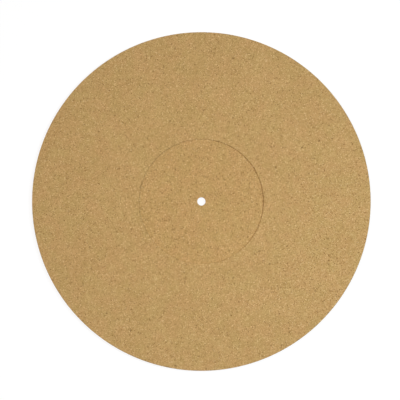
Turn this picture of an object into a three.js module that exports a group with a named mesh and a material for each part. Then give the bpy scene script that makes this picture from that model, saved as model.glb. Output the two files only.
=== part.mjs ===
// Turntable platter mat: one round sheet of pressed cork that lies loose on a record player's
// platter, under the record. It is cut from a single sheet, so the whole mat is one solid.
//
// The record's grooved area lies on the wide top ring. A record is thicker under its paper label,
// so the middle of the mat is milled down to a shallow round recess that takes the label. The
// platter's spindle comes up through the hole in the middle and centres mat and record alike.
//
// The frame: millimetres, +Z up along the spindle, origin at the centre of the underside, which
// is the face that lies on the platter.
import * as THREE from "three";

// The sheet: a mat for a 12-inch record, cut from 3 mm cork.
const matDiameter = 300;
const matThickness = 3;

// The label recess: wider than a 100 mm label by a finger's breadth, and just deep enough for it.
const recessDiameter = 110.5;
const recessDepth = 0.8;

// The spindle hole: a close sliding fit on the spindle, which is a little over 7 mm thick.
const spindleDiameter = 7.1;
const spindleClearance = 0.1;

// Cork can't hold a knife-sharp corner. These are the radii that its cut edges wear to. The
// recess keeps the crispest edges, because nothing rubs there.
const rimEdgeRadius = 0.3;
const holeEdgeRadius = 0.2;
const recessLipRadius = 0.1;
const recessFootRadius = 0.1;

// Facets: one flat every two degrees round the mat, and steps in each edge's quarter round.
const facetsAround = 180;
const stepsPerRound = 3;

const rightAngle = Math.PI / 2;

// The largest radius that leaves a wall of this height some flat between its two round edges.
// A radius as drawn is used unless the wall is too low for it.
function roundWithin(radius, wallHeight) {
  const shareOfWall = 0.45;
  return Math.min(radius, wallHeight * shareOfWall);
}

// A quarter round in the section, from one direction of its centre to the next. x is the
// distance from the spindle's axis and y the height above the platter. Both ends are included.
function quarterRound(centreX, centreY, radius, firstQuarter, lastQuarter) {
  const points = [];
  for (let step = 0; step <= stepsPerRound; step += 1) {
    const turned = firstQuarter + ((lastQuarter - firstQuarter) * step) / stepsPerRound;
    const angle = turned * rightAngle;
    points.push(
      new THREE.Vector2(centreX + radius * Math.cos(angle), centreY + radius * Math.sin(angle)),
    );
  }
  return points;
}

// The mat's section, on one side of the spindle's axis. It runs outwards along the underside, up
// the rim, back in along the top, down into the recess, along its floor and down the hole.
function matSection() {
  const rimX = matDiameter / 2;
  const recessX = recessDiameter / 2;
  const holeX = (spindleDiameter + spindleClearance) / 2;
  const topY = matThickness;
  const floorY = matThickness - recessDepth;

  const rim = roundWithin(rimEdgeRadius, topY);
  const hole = roundWithin(holeEdgeRadius, floorY);
  const lip = roundWithin(recessLipRadius, recessDepth);
  const foot = roundWithin(recessFootRadius, recessDepth);

  const undersideHoleEdge = quarterRound(holeX + hole, hole, hole, 2, 3);
  const undersideRimEdge = quarterRound(rimX - rim, rim, rim, 3, 4);
  const topRimEdge = quarterRound(rimX - rim, topY - rim, rim, 0, 1);
  const recessLip = quarterRound(recessX + lip, topY - lip, lip, 1, 2);
  const recessFoot = quarterRound(recessX - foot, floorY + foot, foot, 0, -1);
  const floorHoleEdge = quarterRound(holeX + hole, floorY - hole, hole, 1, 2);

  const section = [
    ...undersideHoleEdge,
    ...undersideRimEdge,
    ...topRimEdge,
    ...recessLip,
    ...recessFoot,
    ...floorHoleEdge,
  ];
  section.push(section[0].clone());
  return section;
}

// The section turned once round the spindle's axis. The lathe turns about Y, so the result is
// tipped up to have the axis along +Z.
function platterMat() {
  const geometry = new THREE.LatheGeometry(matSection(), facetsAround);
  geometry.rotateX(rightAngle);
  const cork = new THREE.MeshStandardMaterial({ color: 0xbc9964, roughness: 0.88, metalness: 0 });
  const mesh = new THREE.Mesh(geometry, cork);
  mesh.name = "platter_mat";
  return mesh;
}

const mat = new THREE.Group();
mat.add(platterMat());

export default mat;
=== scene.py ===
# %% [markdown]
# A cork platter mat, dressed for its photograph. The real mat is one sheet of pressed cork: bark
# is ground to granules, glued, pressed to a block, sliced and sanded, and the round mat is cut
# from the slice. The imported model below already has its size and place. What it lacks is the
# cork itself, so this lesson spins a finer mesh on the same lines and gives it grain.

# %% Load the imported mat
import math
import random

import bmesh
import bpy
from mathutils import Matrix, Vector, noise


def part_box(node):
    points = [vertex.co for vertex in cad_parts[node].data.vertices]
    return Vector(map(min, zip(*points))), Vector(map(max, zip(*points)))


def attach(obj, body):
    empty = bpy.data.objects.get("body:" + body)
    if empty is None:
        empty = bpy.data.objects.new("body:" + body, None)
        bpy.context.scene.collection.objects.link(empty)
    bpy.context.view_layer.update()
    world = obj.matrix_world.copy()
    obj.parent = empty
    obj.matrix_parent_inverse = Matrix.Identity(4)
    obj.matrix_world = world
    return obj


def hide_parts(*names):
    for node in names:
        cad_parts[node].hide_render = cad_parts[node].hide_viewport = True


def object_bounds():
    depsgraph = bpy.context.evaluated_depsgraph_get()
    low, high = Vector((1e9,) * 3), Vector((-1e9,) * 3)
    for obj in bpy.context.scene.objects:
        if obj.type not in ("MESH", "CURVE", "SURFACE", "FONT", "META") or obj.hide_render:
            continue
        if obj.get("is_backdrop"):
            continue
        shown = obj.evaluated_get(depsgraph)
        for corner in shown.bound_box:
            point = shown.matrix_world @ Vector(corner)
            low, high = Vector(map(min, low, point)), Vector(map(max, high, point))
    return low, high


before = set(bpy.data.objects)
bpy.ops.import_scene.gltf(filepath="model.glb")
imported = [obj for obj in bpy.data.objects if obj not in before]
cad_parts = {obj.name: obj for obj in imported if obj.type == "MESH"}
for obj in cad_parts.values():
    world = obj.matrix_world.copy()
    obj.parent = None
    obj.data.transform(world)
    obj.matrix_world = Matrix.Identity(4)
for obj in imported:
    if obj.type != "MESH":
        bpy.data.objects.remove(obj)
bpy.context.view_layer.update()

MM = 0.001

low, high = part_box("platter_mat")
print("packed mat, mm:", [round(side / MM, 2) for side in high - low])

# %% [markdown]
# The photograph looks straight down, so the mat is a plain circle and nothing leans. A long lens
# far above the mat keeps the walls of the recess and the hole out of sight, as they are there.
# The camera stands a little off the spindle's axis because the mat isn't quite centred in the
# picture. It comes first, so that every later step can be rendered and compared.

# %% The camera, straight above
PICTURE_WIDTH = 354.15 * MM
MAT_THICKNESS = 3 * MM
SENSOR_WIDTH = 36
LENS = 100


def take_picture_from(x, y):
    camera = bpy.data.objects.new("camera", bpy.data.cameras.new("camera"))
    camera.data.sensor_width = SENSOR_WIDTH
    camera.data.lens = LENS
    above_the_mat = PICTURE_WIDTH * LENS / SENSOR_WIDTH
    camera.location = (x, y, MAT_THICKNESS + above_the_mat)
    bpy.context.scene.collection.objects.link(camera)
    bpy.context.scene.camera = camera
    return camera


camera = take_picture_from(x=-1.22 * MM, y=1.31 * MM)
print("camera height, m:", round(camera.location.z, 3))

# %% [markdown]
# Cork can't hold a sharp corner, so all six corners of the mat's section are a little round. The
# section could be typed in point by point, but six corners and a bevel say more: each corner
# keeps its own radius, and the numbers are those of the mat.

# %% The section: six corners, each rounded
MAT_RADIUS = 150 * MM
RECESS_RADIUS = 55.25 * MM
RECESS_DEPTH = 0.8 * MM
RECESS_FLOOR = MAT_THICKNESS - RECESS_DEPTH
HOLE_RADIUS = 3.6 * MM
RIM_ROUNDING = 0.3 * MM
HOLE_ROUNDING = 0.2 * MM
RECESS_ROUNDING = 0.1 * MM
ROUNDING_STEPS = 3
TRUE_ROUND = 0.5

CORNERS = {
    "hole edge below": (HOLE_RADIUS, 0, HOLE_ROUNDING),
    "rim edge below": (MAT_RADIUS, 0, RIM_ROUNDING),
    "rim edge on top": (MAT_RADIUS, MAT_THICKNESS, RIM_ROUNDING),
    "recess lip": (RECESS_RADIUS, MAT_THICKNESS, RECESS_ROUNDING),
    "recess foot": (RECESS_RADIUS, RECESS_FLOOR, RECESS_ROUNDING),
    "hole edge on the floor": (HOLE_RADIUS, RECESS_FLOOR, HOLE_ROUNDING),
}

mat = bmesh.new()
corners = [mat.verts.new((out, 0, up)) for out, up, _ in CORNERS.values()]
for corner, following in zip(corners, corners[1:] + corners[:1]):
    mat.edges.new((corner, following))
for corner, (_, _, rounding) in zip(corners, CORNERS.values()):
    bmesh.ops.bevel(
        mat,
        geom=[corner],
        offset=rounding,
        offset_type="OFFSET",
        segments=ROUNDING_STEPS,
        profile=TRUE_ROUND,
        affect="VERTICES",
        material=-1,
    )
print("section points after the rounding:", len(mat.verts))

# %% [markdown]
# Roughness needs points to move. The long straight stretches of the section are cut into short
# ones, closest on the walls, where the cut grain shows most, and widest on the underside, which
# lies hidden on the platter. First, each stretch is split close to both ends. Smooth shading
# spreads the turn of a rounded corner over the next face, so that face has to be narrow, or a
# wide false gleam would lie along every edge.

# %% Cut the long stretches of the section
LONG_STRETCH = 1.5 * MM
GUARD_STEP = 0.15 * MM
LEVEL_WITHIN = 0.1 * MM
WALL_STEP = 0.5 * MM
TOP_STEP = 1.45 * MM
FLOOR_STEP = 1.2 * MM
UNDERSIDE_STEP = 2.9 * MM


def step_along(edge):
    first, last = (vert.co for vert in edge.verts)
    middle = (first + last) / 2
    if abs(first.z - last.z) > LEVEL_WITHIN:
        return WALL_STEP
    if middle.z < LEVEL_WITHIN:
        return UNDERSIDE_STEP
    return FLOOR_STEP if middle.x < RECESS_RADIUS else TOP_STEP


for edge in [edge for edge in mat.edges if edge.calc_length() > LONG_STRETCH]:
    near, far = edge.verts
    _, guard = bmesh.utils.edge_split(edge, near, GUARD_STEP / edge.calc_length())
    edge = next(side for side in guard.link_edges if far in side.verts)
    bmesh.utils.edge_split(edge, far, GUARD_STEP / edge.calc_length())
for edge in list(mat.edges):
    cuts = round(edge.calc_length() / step_along(edge)) - 1
    if cuts > 0:
        bmesh.ops.bisect_edges(mat, edges=[edge], cuts=cuts)
print("section points after the cuts:", len(mat.verts))

# %% [markdown]
# The saw and the router both turn round the spindle, so the mat is a spin. One number of spokes
# can't suit a hole of 7 mm and a rim of 300 mm, so the spin starts with few spokes, and their
# number doubles where the mat is wide. The recess's wall and the rim have the most, because cut
# grain and chips show there. Each table gives the number of spokes from a distance on, counted
# in millimetres from the spindle.

# %% How many spokes, and how far out
FEWEST_SPOKES = 90
MOST_SPOKES = 1440
SPOKES_BELOW = {20: 180, 60: 360, 147.5: 720, 149.6: MOST_SPOKES}
SPOKES_ON_TOP = {14: 180, 30: 360, 54.7: 720, 56.8: 360, 84: 720, 149.6: MOST_SPOKES}
SAME_PLACE = 0.002 * MM


def spokes_wanted(out, up):
    wanted = FEWEST_SPOKES
    for start, spokes in (SPOKES_BELOW if up < LEVEL_WITHIN else SPOKES_ON_TOP).items():
        if out > start * MM:
            wanted = spokes
    return wanted


def runs_round(edge):
    first, last = (vert.co for vert in edge.verts)
    level = abs(first.z - last.z) < SAME_PLACE
    return level and abs(first.xy.length - last.xy.length) < SAME_PLACE


print("spokes at the rim:", spokes_wanted(MAT_RADIUS, MAT_THICKNESS))

# %% [markdown]
# The spin runs once. Then each turn of the loop splits the edges that run round and still want
# more spokes. A split edge's middle lies on the chord, a little inside the circle. Every point
# therefore carries its ring's radius, which a split passes on, and is moved out on to its ring
# after each doubling. Where a ring meets one with half its points, a face has one split side. It
# is cut into three triangles at once, or the exporter would cut it, and might leave a sliver
# along the ring. At the end the normals are turned outwards, because a spin can leave them
# inside out.

# %% Spin the section and double the spokes outwards
ring = mat.verts.layers.float.new("ring")
for vert in mat.verts:
    vert[ring] = vert.co.x
bmesh.ops.spin(
    mat,
    geom=mat.verts[:] + mat.edges[:],
    cent=(0, 0, 0),
    axis=(0, 0, 1),
    angle=2 * math.pi,
    steps=FEWEST_SPOKES,
    use_merge=True,
    use_duplicate=False,
)
spokes = FEWEST_SPOKES
while spokes < MOST_SPOKES:
    to_split = [
        edge
        for edge in mat.edges
        if runs_round(edge)
        and spokes_wanted(edge.verts[0].co.xy.length, edge.verts[0].co.z) > spokes
    ]
    bmesh.ops.subdivide_edges(mat, edges=to_split, cuts=1, use_single_edge=True)
    for vert in mat.verts:
        vert.co.xy = vert.co.xy.normalized() * vert[ring]
    spokes *= 2
mat.verts.layers.float.remove(ring)
bmesh.ops.recalc_face_normals(mat, faces=mat.faces[:])
volume = mat.calc_volume() / (10 * MM) ** 3
print("spun mat: faces", len(mat.faces), "volume, cm3:", round(volume, 1))

# %% [markdown]
# The next steps throw dice. Seeded dice fall the same way each time, but the spin's merge and the
# splits hand the points over in an order that changes from run to run. So every point is numbered
# by its place, spoke by spoke, and every face by its points, and the mesh is sorted by these
# numbers. Then the same throw always meets the same point.

# %% Put the points and faces in a fixed order
def place_of(vert):
    spoke = round(math.atan2(vert.co.y, vert.co.x) / (2 * math.pi) * MOST_SPOKES)
    return spoke % MOST_SPOKES, vert.co.z, vert.co.xy.length


def points_of(face):
    return sorted(vert.index for vert in face.verts)


for elements, order in ((mat.verts, place_of), (mat.faces, points_of)):
    for number, element in enumerate(sorted(elements, key=order)):
        element.index = number
    elements.sort()
    elements.index_update()
print("points in order:", len(mat.verts), "faces in order:", len(mat.faces))

# %% [markdown]
# A grid of rings and spokes would show as a pattern once its points move up and down. Sliding
# each point of the flat faces a short random way, within its own face, turns the cells into
# uneven ones the size of granules, and changes nothing of the shape. The table gives each flat
# face's height, and the distances between which its points are loose. Nearer to an edge, they
# stay where they are.

# %% Make the cells of the flat faces uneven
LOOSENESS = 0.24
DICE_SEED = 7
A_HAIR = 0.01 * MM
LOOSE_FROM_AND_TO = {
    0: (5 * MM, 148.5 * MM),
    RECESS_FLOOR: (5 * MM, 53.5 * MM),
    MAT_THICKNESS: (56.9 * MM, 148.5 * MM),
}

dice = random.Random(DICE_SEED)


def on_a_flat(vert):
    for height, (start, end) in LOOSE_FROM_AND_TO.items():
        if abs(vert.co.z - height) < A_HAIR:
            return start < vert.co.xy.length < end
    return False


flat_points = [vert for vert in mat.verts if on_a_flat(vert)]
for vert in flat_points:
    room = LOOSENESS * min(edge.calc_length() for edge in vert.link_edges)
    vert.co.x += dice.uniform(-room, room)
    vert.co.y += dice.uniform(-room, room)
print("points slid on the flat faces:", len(flat_points))

# %% [markdown]
# Sanding tears a granule out here and there and leaves a pit. Insetting single cells draws the
# mouth of each pit, still level with the face. One inset serves all pits whose walls are equally
# wide, which is far quicker than one for each. The pits are sunk after the map is laid, so that
# their walls have room on the map too.

# %% Draw the mouths of the pits
PIT_SHARE_ON_FACES = 0.012
PIT_SHARE_ON_WALLS = 0.03
PIT_WALL_WIDTHS = [width * MM for width in (0.08, 0.12, 0.16, 0.22)]
LEAST_WIDTHS_IN_A_CELL = 3
LARGEST_CELL = 6 * MM * MM
UPRIGHT = 0.2

pits = {width: [] for width in PIT_WALL_WIDTHS}
taken = set()
for face in mat.faces:
    wall = abs(face.normal.z) < UPRIGHT
    whole = len(face.verts) == 4 and face.calc_area() < LARGEST_CELL
    clear_of_edges = wall or all(on_a_flat(vert) for vert in face.verts)
    share = PIT_SHARE_ON_WALLS if wall else PIT_SHARE_ON_FACES
    width = dice.choice(PIT_WALL_WIDTHS)
    if dice.random() > share or not whole or not clear_of_edges:
        continue
    shortest = min(edge.calc_length() for edge in face.edges)
    roomy = shortest > LEAST_WIDTHS_IN_A_CELL * width
    if roomy and not any(vert in taken for vert in face.verts):
        taken.update(face.verts)
        pits[width].append(face)

for width, faces in pits.items():
    bmesh.ops.inset_individual(
        mat,
        faces=faces,
        thickness=width,
        depth=0,
        use_even_offset=True,
        use_interpolate=True,
    )
print("pits of each width:", [len(faces) for faces in pits.values()])

# %% [markdown]
# The pattern of the cork is solid and needs no map, but an exported mat does: its colours are
# baked on to one. The mat opens like a tin lid. Everything from the hole's wall to the rim's
# wall is one disc, where a point's distance from the middle is how far it lies along the
# section, and the underside is a second, smaller disc beside it.

# %% Lay the map: two discs
TOP_DISC = 0.393
UNDER_DISC = 0.183
MARGIN = 0.004


def is_below(face):
    middle = face.calc_center_median()
    return middle.z < (RIM_ROUNDING if middle.xy.length > RECESS_RADIUS else HOLE_ROUNDING)


def way_along_top(out, up):
    if out > MAT_RADIUS - RIM_ROUNDING - A_HAIR:
        return out + RECESS_DEPTH + (MAT_THICKNESS - up)
    in_the_hole = out < HOLE_RADIUS + HOLE_ROUNDING + A_HAIR
    if in_the_hole or abs(out - RECESS_RADIUS) < RECESS_ROUNDING + A_HAIR:
        return out + up - RECESS_FLOOR
    return out + (RECESS_DEPTH if out > RECESS_RADIUS else 0)


def way_along_underside(out, up):
    return out + up if out > RECESS_RADIUS else out - up


bake_map = mat.loops.layers.uv.new("OFBake")
longest_top = way_along_top(MAT_RADIUS, RIM_ROUNDING)
longest_under = way_along_underside(MAT_RADIUS, RIM_ROUNDING)
for face in mat.faces:
    below = is_below(face)
    disc = UNDER_DISC if below else TOP_DISC
    middle = 1 - MARGIN - disc if below else MARGIN + disc
    for corner in face.loops:
        place = corner.vert.co
        way = (way_along_underside if below else way_along_top)(place.xy.length, place.z)
        reach = disc * way / (longest_under if below else longest_top)
        spoke = place.xy.normalized() * reach
        side = -1 if below else 1
        corner[bake_map].uv = (middle + side * spoke.x, middle + spoke.y)
print("map laid on", len(mat.faces), "faces")

# %% [markdown]
# Now the surface moves, and always inwards, so that the mat stays inside its true size. The pits
# sink first. Then every point sinks by the grain: a few hundredths of a millimetre on the sanded
# faces and about twice that on the cut walls. The edges also lose small chips, where a granule
# broke away under the knife. A chip pushes all its points the same way, slantwise into its edge,
# because along their own normals they would fold the narrow rounding over itself. A value marks
# the pits and chips, and the material darkens them there. Part of that is the darker tone of torn
# cork, and part is painted shade in their hollows.

# %% Sink the pits, and say which way a chip goes
PIT_DEPTHS = (0.08, 0.26)
CHIP_REACH = 0.9 * MM
SLANT = math.sqrt(0.5)
CHIPPED_EDGES = (
    (MAT_RADIUS, MAT_THICKNESS, -SLANT, -SLANT),
    (MAT_RADIUS, 0, -SLANT, SLANT),
    (RECESS_RADIUS, MAT_THICKNESS, SLANT, -SLANT),
)

# This mark darkens pits and chips in the material: torn cork's darker tone plus painted shade in
# the hollows.
torn_and_shaded = mat.verts.layers.float.new("torn_and_shaded")
for face in [face for faces in pits.values() for face in faces]:
    depth = dice.uniform(*PIT_DEPTHS) * MM
    for vert in face.verts:
        vert.co -= face.normal * depth
        vert[torn_and_shaded] = 1.0


def into_the_edge(place):
    """The way of a chip: one long on an edge, shorter beside it, and nothing far from it."""
    out, up = place.xy.length, place.z
    for edge_out, edge_up, way_out, way_up in CHIPPED_EDGES:
        nearness = 1 - math.hypot(out - edge_out, up - edge_up) / CHIP_REACH
        if nearness > 0:
            outwards = place.xy / out
            return Vector((outwards.x * way_out, outwards.y * way_out, way_up)) * nearness
    return Vector((0, 0, 0))


mat.normal_update()
print("pits sunk:", sum(len(faces) for faces in pits.values()))

# %% [markdown]
# Grain and chips are both noise, read at each point's own place. Every shift is worked out before
# any point moves, so that all of them are read from the unmoved surface. A chip needs the noise to
# rise above a threshold, so chips are few and most of the edge stays whole.

# %% Sink the grain and the chips
GRAIN_SIZE = 1.3 * MM
GRAIN_FALLOFF = 0.7
GRAIN_FINER_BY = 2.0
GRAIN_LAYERS = 3
FACE_GRAIN = 0.035 * MM
WALL_GRAIN = 0.07 * MM
CHIP_SIZE = 2.2 * MM
CHIP_DEPTH = 0.5 * MM
CHIP_THRESHOLD = 0.32
SMALLEST_CHIP_SEEN = 0.02

sunk = []
for vert in mat.verts:
    swing = noise.fractal(vert.co / GRAIN_SIZE, GRAIN_FALLOFF, GRAIN_FINER_BY, GRAIN_LAYERS)
    grain = 0.5 + 0.5 * swing
    wall = 1 - abs(vert.normal.z)
    depth = (FACE_GRAIN + (WALL_GRAIN - FACE_GRAIN) * wall) * min(max(grain, 0.0), 1.0)
    above = max(0.0, noise.noise(vert.co / CHIP_SIZE) - CHIP_THRESHOLD)
    chip = above * into_the_edge(vert.co)
    if chip.length > SMALLEST_CHIP_SEEN:
        vert[torn_and_shaded] = 1.0
    sunk.append((vert, chip * CHIP_DEPTH - vert.normal * depth))
for vert, shift in sunk:
    vert.co += shift
print("deepest shift, mm:", round(max(shift.length for vert, shift in sunk) / MM, 3))

# %% [markdown]
# Three finishes meet on the mat: its top and underside are sanded, its walls are cut, and the
# recess's floor is milled. Each face is given its finish's number here, where the shape is still
# at hand. Then the mesh becomes an object, at the origin and unturned, and takes the place of the
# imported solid.

# %% Make the mat an object
SANDED, CUT, MILLED = 0, 1, 2
STEEP = 0.5


def finish_of(face):
    if abs(face.normal.z) < STEEP:
        return CUT
    over_the_recess = face.calc_center_median().xy.length < RECESS_RADIUS
    return MILLED if over_the_recess and face.normal.z > 0 else SANDED


for face in mat.faces:
    face.smooth = True
    face.material_index = finish_of(face)

mesh = bpy.data.meshes.new("cork_mat")
mat.to_mesh(mesh)
mat.free()
cork_mat = bpy.data.objects.new("cork_mat", mesh)
bpy.context.scene.collection.objects.link(cork_mat)
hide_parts("platter_mat")
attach(cork_mat, "root")
triangles = sum(len(face.vertices) - 2 for face in mesh.polygons)
print("triangles:", triangles)

# %% [markdown]
# A finish is a tree of nodes, and this one has many small ones. Wiring them one by one would bury
# the idea, so each helper puts one node into a tree and hands back its output. A value that is
# another node's output is linked, and a plain number is typed into the socket. Then the cells
# below read like the sums that they are.

# %% Helpers for nodes
def new_group(name, inputs, outputs):
    tree = bpy.data.node_groups.new(name, "ShaderNodeTree")
    for socket_name, socket_type, value in inputs:
        socket = tree.interface.new_socket(socket_name, in_out="INPUT", socket_type=socket_type)
        if value is not None:
            socket.default_value = value
    for socket_name, socket_type in outputs:
        tree.interface.new_socket(socket_name, in_out="OUTPUT", socket_type=socket_type)
    return tree, tree.nodes.new("NodeGroupInput"), tree.nodes.new("NodeGroupOutput")


def feed(tree, socket, value):
    if isinstance(value, bpy.types.NodeSocket):
        tree.links.new(value, socket)
    else:
        socket.default_value = value


def node(tree, kind, settings=None, **inputs):
    made = tree.nodes.new(kind)
    for name, value in (settings or {}).items():
        setattr(made, name, value)
    for name, value in inputs.items():
        feed(tree, made.inputs[name.replace("_", " ")], value)
    return made


def maths(tree, operation, first, second):
    made = node(tree, "ShaderNodeMath", {"operation": operation})
    feed(tree, made.inputs[0], first)
    feed(tree, made.inputs[1], second)
    return made.outputs[0]


def vector_maths(tree, operation, first, second):
    made = node(tree, "ShaderNodeVectorMath", {"operation": operation})
    feed(tree, made.inputs[0], first)
    feed(tree, made.inputs[1], second)
    return made.outputs[0]


def scale_vector(tree, vector, factor):
    made = node(tree, "ShaderNodeVectorMath", {"operation": "SCALE"}, Scale=factor)
    feed(tree, made.inputs[0], vector)
    return made.outputs[0]


# %% [markdown]
# Four more helpers mix and grade. Between slides from one number to another, blend does the same
# for colours, and ease turns a range of values into a soft step. The fourth, clouds, is a soft
# noise, told by the size of its clouds on the real mat instead of by a bare scale.

# %% Helpers that mix, grade and cloud
def between(tree, share, first, second):
    made = node(tree, "ShaderNodeMix")
    feed(tree, made.inputs[0], share)
    feed(tree, made.inputs[2], first)
    feed(tree, made.inputs[3], second)
    return made.outputs[0]


def blend(tree, share, first, second, way="MIX"):
    made = node(tree, "ShaderNodeMix", {"data_type": "RGBA", "blend_type": way})
    feed(tree, made.inputs[0], share)
    feed(tree, made.inputs[6], first)
    feed(tree, made.inputs[7], second)
    return made.outputs[2]


def ease(tree, value, start, end, low=0.0, high=1.0):
    graded = node(
        tree,
        "ShaderNodeMapRange",
        {"interpolation_type": "SMOOTHSTEP"},
        Value=value,
        From_Min=start,
        From_Max=end,
        To_Min=low,
        To_Max=high,
    )
    return graded.outputs["Result"]


def clouds(tree, place, size):
    made = node(tree, "ShaderNodeTexNoise", Vector=place, Scale=1 / size, Detail=2.0)
    return made.outputs[0]


# %% [markdown]
# All three finishes are made of granules, so these are a node group of their own. A Voronoi
# texture packs them as pressing does: cells that fill all the room, with flat sides. It is fed
# Object coordinates, in three dimensions, so a granule that is cut by the rim goes on round the
# corner. A little noise on the coordinates crumples the straight sides. Each cell also draws a
# random colour, and its three numbers serve as the granule's shade, its kind and its hue.

# %% The granules: crumpled cells
WOBBLE = dict(Scale=2.1, Detail=3.0, Roughness=0.6)

granules, granule_in, granule_out = new_group(
    "cork_granules",
    inputs=[
        ("Place", "NodeSocketVector", None),
        ("Size", "NodeSocketFloat", 0.001),
        ("Crumple", "NodeSocketFloat", 0.6),
    ],
    outputs=[
        ("Shade", "NodeSocketFloat"),
        ("Kind", "NodeSocketFloat"),
        ("Hue", "NodeSocketFloat"),
        ("Fibre", "NodeSocketFloat"),
        ("Seam", "NodeSocketFloat"),
        ("Void", "NodeSocketFloat"),
        ("Dome", "NodeSocketFloat"),
    ],
)
per_granule = maths(granules, "DIVIDE", 1.0, granule_in.outputs["Size"])
scaled = scale_vector(granules, granule_in.outputs["Place"], per_granule)
wobble = node(granules, "ShaderNodeTexNoise", Vector=scaled, **WOBBLE)
centred = vector_maths(granules, "SUBTRACT", wobble.outputs["Color"], (0.5, 0.5, 0.5))
crumple = scale_vector(granules, centred, granule_in.outputs["Crumple"])
crumpled = vector_maths(granules, "ADD", scaled, crumple)

cells = node(granules, "ShaderNodeTexVoronoi", Vector=crumpled, Scale=1.0)
draws = node(granules, "ShaderNodeSeparateColor", Color=cells.outputs["Color"])
feed(granules, granule_out.inputs["Shade"], draws.outputs["Red"])
feed(granules, granule_out.inputs["Kind"], draws.outputs["Green"])
feed(granules, granule_out.inputs["Hue"], draws.outputs["Blue"])
print("granule cells, nodes:", len(granules.nodes))

# %% [markdown]
# Each granule lies its own way in the block, and so does its fibre: one noise, stretched, and
# turned inside each granule by that granule's random colour. The distance to the nearest side
# gives the thin seam of glue and the granule's worn, domed top. Where a point lies far from every
# granule's middle, the corners met badly, and a small void stays open.

# %% The granules: fibre, seams and voids
WIDEST_SEAM = 0.09
THINNEST_SEAM = 0.02
FIBRE_SHAPE = (1.3, 7.0, 1.3)
VOID_STARTS = 0.8
VOID_IS_FULL = 0.9
DOME_WIDTH = 0.3

any_way = scale_vector(granules, cells.outputs["Color"], 2 * math.pi)
turned = node(
    granules,
    "ShaderNodeVectorRotate",
    {"rotation_type": "EULER_XYZ"},
    Vector=scaled,
    Rotation=any_way,
)
stretched = vector_maths(granules, "MULTIPLY", turned.outputs[0], FIBRE_SHAPE)
fibre = node(granules, "ShaderNodeTexNoise", Vector=stretched, Scale=1.0, Detail=3.0)
feed(granules, granule_out.inputs["Fibre"], fibre.outputs[0])

sides = node(
    granules,
    "ShaderNodeTexVoronoi",
    {"feature": "DISTANCE_TO_EDGE"},
    Vector=crumpled,
    Scale=1.0,
)
inside = sides.outputs["Distance"]
seam_width = maths(granules, "MULTIPLY", draws.outputs["Blue"], WIDEST_SEAM)
seam_width = maths(granules, "ADD", seam_width, THINNEST_SEAM)
feed(granules, granule_out.inputs["Seam"], ease(granules, inside, 0.0, seam_width, 1.0, 0.0))
void = ease(granules, cells.outputs["Distance"], VOID_STARTS, VOID_IS_FULL)
feed(granules, granule_out.inputs["Void"], void)
feed(granules, granule_out.inputs["Dome"], ease(granules, inside, 0.0, DOME_WIDTH))
print("granule group, nodes:", len(granules.nodes))

# %% [markdown]
# Fine-ground cork is a mix of sizes, so the finish uses the granules twice: large ones, and ones
# half that size. More than half of the large ones are really clumps, which show the small ones
# instead.

# %% The cork finish: a mix of sizes
SMALL_TO_LARGE = 0.5
CLUMPS_START = 0.38
ALL_CLUMPS = 0.4

cork, cork_in, cork_out = new_group(
    "pressed_cork",
    inputs=[
        ("Place", "NodeSocketVector", None),
        ("Torn", "NodeSocketFloat", 0.0),
        ("Granule Size", "NodeSocketFloat", 0.001),
        ("Tan", "NodeSocketColor", (0.5, 0.3, 0.12, 1)),
        ("Bark", "NodeSocketColor", (0.2, 0.1, 0.04, 1)),
        ("Pale", "NodeSocketColor", (0.7, 0.5, 0.25, 1)),
        ("Contrast", "NodeSocketFloat", 0.2),
        ("Fibre Contrast", "NodeSocketFloat", 0.3),
        ("Bark Share", "NodeSocketFloat", 0.03),
        ("Pale Share", "NodeSocketFloat", 0.04),
        ("Seam Darkness", "NodeSocketFloat", 0.3),
        ("Relief", "NodeSocketFloat", 0.00005),
    ],
    outputs=[
        ("Color", "NodeSocketColor"),
        ("Roughness", "NodeSocketFloat"),
        ("Height", "NodeSocketFloat"),
    ],
)
place = cork_in.outputs["Place"]
size = cork_in.outputs["Granule Size"]
small_size = maths(cork, "MULTIPLY", size, SMALL_TO_LARGE)
large = node(cork, "ShaderNodeGroup", {"node_tree": granules}, Place=place, Size=size)
small = node(cork, "ShaderNodeGroup", {"node_tree": granules}, Place=place, Size=small_size)

clump = ease(cork, large.outputs["Kind"], CLUMPS_START, ALL_CLUMPS)
mixed = {
    name: between(cork, clump, large.outputs[name], small.outputs[name])
    for name in ("Shade", "Hue", "Fibre", "Dome")
}
both = {}
for name in ("Seam", "Void"):
    in_a_clump = maths(cork, "MULTIPLY", small.outputs[name], clump)
    both[name] = maths(cork, "MAXIMUM", large.outputs[name], in_a_clump)
print("cork group so far, nodes:", len(cork.nodes))

# %% [markdown]
# Now the colour. Each granule has its own tone, its fibre adds finer streaks and sanding dust the
# finest specks, and the whole sheet drifts a little from one hand's breadth to the next. A darker
# granule isn't greyer but browner, because cork that takes more light takes most of it from the
# blue. So the same swing counts more in the blue than in the red. Patches of a finger's breadth
# lean a little warmer or greener.

# %% The cork finish: tone and hue
TONE_BY_CHANNEL = (0.85, 1.02, 1.5)
WARMER = (1.025, 0.985, 0.985, 1)
GREENER = (0.975, 1.015, 0.95, 1)
SPECK_SIZE = 0.24 * MM
PATCH_SIZE = 12 * MM
DRIFT_SIZE = 36 * MM
SPECK_CONTRAST = 0.3
DRIFT_CONTRAST = 0.12
LEAN_BY_GRANULE = 0.4
LEAN_BY_PATCH = 3.0
LEAN_RANGE = (0.8, 2.6)

specks = clouds(cork, place, SPECK_SIZE)
patches = clouds(cork, place, PATCH_SIZE)
drift = clouds(cork, place, DRIFT_SIZE)

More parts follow.
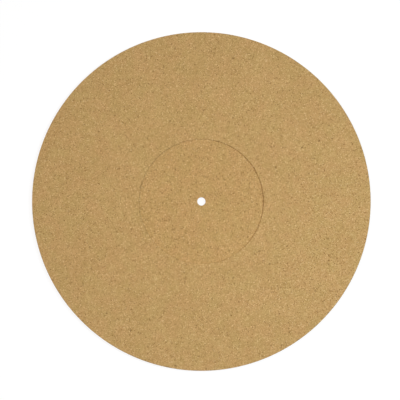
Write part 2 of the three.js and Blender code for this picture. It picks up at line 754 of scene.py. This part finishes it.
swing = 0.0
for value, amount in (
    (mixed["Shade"], cork_in.outputs["Contrast"]),
    (mixed["Fibre"], cork_in.outputs["Fibre Contrast"]),
    (specks, SPECK_CONTRAST),
    (drift, DRIFT_CONTRAST),
):
    part = maths(cork, "MULTIPLY", maths(cork, "SUBTRACT", value, 0.5), amount)
    swing = maths(cork, "ADD", swing, part)
tone = vector_maths(cork, "ADD", scale_vector(cork, TONE_BY_CHANNEL, swing), (1, 1, 1))

lean = maths(cork, "MULTIPLY", mixed["Hue"], LEAN_BY_GRANULE)
lean = maths(cork, "ADD", lean, maths(cork, "MULTIPLY", patches, LEAN_BY_PATCH))
lean = ease(cork, lean, *LEAN_RANGE)
warmer = blend(cork, 1.0, cork_in.outputs["Tan"], WARMER, "MULTIPLY")
greener = blend(cork, 1.0, cork_in.outputs["Tan"], GREENER, "MULTIPLY")
colour = vector_maths(cork, "MULTIPLY", blend(cork, lean, warmer, greener), tone)
print("cork group so far, nodes:", len(cork.nodes))

# %% [markdown]
# Some of the small granules hold flecks of brown bark, and a few are pale new cork. The glue in
# the seams is dark. The voids are darker, which is painted shade in holes that exist only in the
# bump. Torn places, the pits and chips, show the darker brown of torn cork together with painted
# shade in their hollows. All of them mix towards the bark's own colour, so that nothing on the mat
# is ever grey.

# %% The cork finish: flecks, glue, and painted shade in voids and pits
PALE_COVER = 0.8
BARK_SOFTNESS = 0.01
BARK_FIBRE_RANGE = (0.38, 0.5)
TORN_AND_SHADED_RANGE = (1.05, 1.25)
# Darkness of pits and chips: torn cork's tone and painted shade in their hollows.
TORN_AND_SHADED_DARKNESS = 0.35
# Voids are only dents in the bump, so their dark is a painted shade.
VOID_PAINTED_SHADE = 0.6
SPECK_RANGE = (0.3, 0.7)
ROUGHNESS_RANGE = (0.82, 0.95)

new_cork = maths(cork, "LESS_THAN", small.outputs["Kind"], cork_in.outputs["Pale Share"])
new_cork = maths(cork, "MULTIPLY", new_cork, PALE_COVER)
colour = blend(cork, new_cork, colour, cork_in.outputs["Pale"])
bark_from = maths(cork, "SUBTRACT", 1.0, cork_in.outputs["Bark Share"])
bark_full = maths(cork, "ADD", bark_from, BARK_SOFTNESS)
barky = ease(cork, small.outputs["Kind"], bark_from, bark_full)
fleck = maths(cork, "MULTIPLY", barky, ease(cork, small.outputs["Fibre"], *BARK_FIBRE_RANGE))
colour = blend(cork, fleck, colour, cork_in.outputs["Bark"])

# Marked pits and chips, with a crumbly edge from the specks, darkened as torn cork and as painted
# shade in their hollows.
torn_and_shaded = ease(cork, maths(cork, "ADD", cork_in.outputs["Torn"], specks), *TORN_AND_SHADED_RANGE)
dark = maths(cork, "MULTIPLY", both["Seam"], cork_in.outputs["Seam Darkness"])
dark = maths(cork, "MAXIMUM", dark, maths(cork, "MULTIPLY", torn_and_shaded, TORN_AND_SHADED_DARKNESS))
# Painted shade in the voids, mixed towards the bark's colour.
dark = maths(cork, "MAXIMUM", dark, maths(cork, "MULTIPLY", both["Void"], VOID_PAINTED_SHADE))
feed(cork, cork_out.inputs["Color"], blend(cork, dark, colour, cork_in.outputs["Bark"]))
roughness = ease(cork, specks, *SPECK_RANGE, *ROUGHNESS_RANGE)
feed(cork, cork_out.inputs["Roughness"], roughness)
print("cork group so far, nodes:", len(cork.nodes))

# %% [markdown]
# The same values also give the height for a bump: granules stand a little domed and at different
# levels, fibre and specks roughen them, and voids and torn places lie deep. Height is a sum, and
# one socket called Relief sets how much of it is left after sanding.

# %% The cork finish: relief
height = 0.0
for value, amount in (
    (mixed["Dome"], 0.5),
    (mixed["Shade"], 0.5),
    (mixed["Fibre"], 0.7),
    (specks, 0.7),
    (both["Void"], -2.0),
    (torn_and_shaded, -0.6),
):
    height = maths(cork, "ADD", height, maths(cork, "MULTIPLY", value, amount))
height = maths(cork, "MULTIPLY", height, cork_in.outputs["Relief"])
feed(cork, cork_out.inputs["Height"], height)
print("cork group, nodes:", len(cork.nodes))

# %% [markdown]
# The three finishes differ only in numbers. Sanding levels the faces, so their relief is low. A
# knife tears the granules that it meets, so the walls are rougher, a shade darker, and show the
# seams more. The router leaves the recess's floor as smooth as the sanded faces, but in the
# photograph that floor is a touch warmer, so only its tan differs.

# %% The three materials
GRANULE_SIZE = 1.1 * MM
CORK_SPECULAR = 0.25
SMOOTH_FINISH = dict(
    Bark=(0.165, 0.076, 0.014, 1),
    Pale=(0.76, 0.54, 0.27, 1),
    Contrast=0.35,
    Fibre_Contrast=0.44,
    Bark_Share=0.035,
    Pale_Share=0.03,
    Seam_Darkness=0.28,
    Relief=0.00005,
)


def cork_material(name, **values):
    material = bpy.data.materials.new(name)
    material.use_nodes = True
    tree = material.node_tree
    shader = tree.nodes["Principled BSDF"]
    shader.inputs["Specular IOR Level"].default_value = CORK_SPECULAR
    coordinates = tree.nodes.new("ShaderNodeTexCoord")
    marks = node(tree, "ShaderNodeAttribute", {"attribute_name": "torn_and_shaded"})
    finish = node(
        tree,
        "ShaderNodeGroup",
        {"node_tree": cork},
        Place=coordinates.outputs["Object"],
        Torn=marks.outputs["Fac"],
        Granule_Size=GRANULE_SIZE,
        **values,
    )
    bump = node(tree, "ShaderNodeBump", Distance=1.0, Height=finish.outputs["Height"])
    feed(tree, shader.inputs["Base Color"], finish.outputs["Color"])
    feed(tree, shader.inputs["Roughness"], finish.outputs["Roughness"])
    feed(tree, shader.inputs["Normal"], bump.outputs["Normal"])
    cork_mat.data.materials.append(material)


cork_material("sanded_cork", Tan=(0.509, 0.319, 0.1256, 1), **SMOOTH_FINISH)
cork_material(
    "cut_cork",
    Tan=(0.45, 0.28, 0.11, 1),
    Bark=(0.14, 0.068, 0.02, 1),
    Pale=(0.62, 0.45, 0.22, 1),
    Contrast=0.5,
    Fibre_Contrast=0.5,
    Bark_Share=0.05,
    Pale_Share=0.02,
    Seam_Darkness=0.6,
    Relief=0.0001,
)
cork_material("milled_cork", Tan=(0.5139, 0.3154, 0.1214, 1), **SMOOTH_FINISH)
print("materials:", [material.name for material in cork_mat.data.materials])

# %% [markdown]
# The mat was photographed on white, with nothing of the ground to be seen. A floor that glows a
# little as well as catching the light stays white right up to the rim, and still darkens under
# it when seen from the side. Far away the lamps reach it less, so there it glows more, and no
# horizon shows against the white room. From below, the floor is clear, so that the underside can
# be looked at too. Cycles usually aims rays at whatever glows. This floor almost touches the mat,
# and aimed rays would light the underside in two uneven halves, so the aiming is switched off.

# %% The floor
FLOOR_SIZE = 12.0
FLOOR_GAP = 0.02 * MM

ground = bmesh.new()
bmesh.ops.create_grid(ground, x_segments=1, y_segments=1, size=FLOOR_SIZE / 2)
bmesh.ops.translate(ground, vec=(0, 0, -FLOOR_GAP), verts=ground.verts[:])
floor_mesh = bpy.data.meshes.new("floor")
ground.to_mesh(floor_mesh)
ground.free()
floor = bpy.data.objects.new("floor", floor_mesh)
bpy.context.scene.collection.objects.link(floor)
floor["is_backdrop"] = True
print("floor, m:", FLOOR_SIZE)

# %% [markdown]
# The floor's white is a grey paint with a glow, and a mix by the side that is seen makes the
# underside clear. The room is white to the camera alone, and gives the mat hardly any light.

# %% The floor's paint and the white room
FLOOR_GREY = (0.14, 0.14, 0.14, 1)
FLOOR_ROUGHNESS = 0.9
WHITE = (1, 1, 1, 1)
GLOW_AT_THE_MAT = 0.865
GLOW_FAR_AWAY = 1.0
GLOW_RISES_FROM = 0.3
GLOW_RISES_TO = 2.0
FILL_STRENGTH = 0.02

white = bpy.data.materials.new("white_floor")
white.use_nodes = True
white_tree = white.node_tree
paint = white_tree.nodes["Principled BSDF"]
paint.inputs["Base Color"].default_value = FLOOR_GREY
paint.inputs["Roughness"].default_value = FLOOR_ROUGHNESS
paint.inputs["Emission Color"].default_value = WHITE
spot = white_tree.nodes.new("ShaderNodeTexCoord").outputs["Object"]
distance = node(white_tree, "ShaderNodeVectorMath", {"operation": "LENGTH"}, Vector=spot)
glow = ease(
    white_tree,
    distance.outputs["Value"],
    GLOW_RISES_FROM,
    GLOW_RISES_TO,
    GLOW_AT_THE_MAT,
    GLOW_FAR_AWAY,
)
feed(white_tree, paint.inputs["Emission Strength"], glow)
white.cycles.emission_sampling = "NONE"
clear = white_tree.nodes.new("ShaderNodeBsdfTransparent")
side = white_tree.nodes.new("ShaderNodeNewGeometry")
either = white_tree.nodes.new("ShaderNodeMixShader")
feed(white_tree, either.inputs[0], side.outputs["Backfacing"])
feed(white_tree, either.inputs[1], paint.outputs[0])
feed(white_tree, either.inputs[2], clear.outputs[0])
feed(white_tree, white_tree.nodes["Material Output"].inputs["Surface"], either.outputs[0])
floor.data.materials.append(white)

room = bpy.data.worlds.new("room")
room.use_nodes = True
walls = room.node_tree.nodes["Background"]
walls.inputs["Color"].default_value = WHITE
seen = room.node_tree.nodes.new("ShaderNodeLightPath").outputs["Is Camera Ray"]
brightness = between(room.node_tree, seen, FILL_STRENGTH, 1.0)
feed(room.node_tree, walls.inputs["Strength"], brightness)
bpy.context.scene.world = room
bpy.context.scene.view_settings.view_transform = "Standard"
print("nodes of the floor's paint:", len(white_tree.nodes))

# %% [markdown]
# The thin dark line of the recess tells where the light stood. It is strongest on the right,
# where the wall turns its back to the lamp, weaker at the upper left, and gone at the bottom.
# So there were two lamps: a strong soft one on the right, and a weaker one behind the upper
# left. The mat is also a little brighter towards the bottom right than the nearness of the right
# lamp explains. Both lamps are therefore aimed past the mat, towards the bottom, so that their
# beams fall off across it. The right lamp is a little cooler, which browns its shadows. The
# photograph also darkens slightly from the middle to the rim. A weak third lamp, close above the
# middle, does the same, because its light has further to go to the rim. It hangs in the camera's
# way, so the camera doesn't see the lamps.

# %% Three soft lamps
def soft_lamp(name, turned, raised, away, width, watts, aim, tint):
    lamp = bpy.data.objects.new(name, bpy.data.lights.new(name, "AREA"))
    lamp.data.size = width
    lamp.data.energy = watts
    lamp.data.color = tint
    turned, raised = math.radians(turned), math.radians(raised)
    lamp.location = (
        away * math.cos(turned) * math.cos(raised),
        away * math.sin(turned) * math.cos(raised),
        away * math.sin(raised),
    )
    backwards = lamp.location - Vector(aim)
    lamp.rotation_euler = backwards.to_track_quat("Z", "Y").to_euler()
    lamp.visible_camera = False
    bpy.context.scene.collection.objects.link(lamp)


soft_lamp(
    "lamp_right",
    turned=10,
    raised=42,
    away=1.8,
    width=0.7,
    watts=40.7,
    aim=(0, -2.7, 0),
    tint=(0.9, 1.0, 1.08),
)
soft_lamp(
    "lamp_upper_left",
    turned=160,
    raised=42,
    away=5,
    width=1.6,
    watts=155.2,
    aim=(0, -5.4, 0),
    tint=(1.12, 1.0, 0.9),
)
soft_lamp(
    "lamp_by_the_camera",
    turned=0,
    raised=90,
    away=0.35,
    width=0.25,
    watts=0.3,
    aim=(0, 0, 0),
    tint=(1.0, 1.0, 1.0),
)

# %% [markdown]
# Last, the box of the dressed mat is measured and its size printed, beside the imported mat's size
# printed at the start.

# %% Print the dressed size
dressed_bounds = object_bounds()
low, high = dressed_bounds
print("dressed mat, mm:", [round(side / MM, 2) for side in high - low])
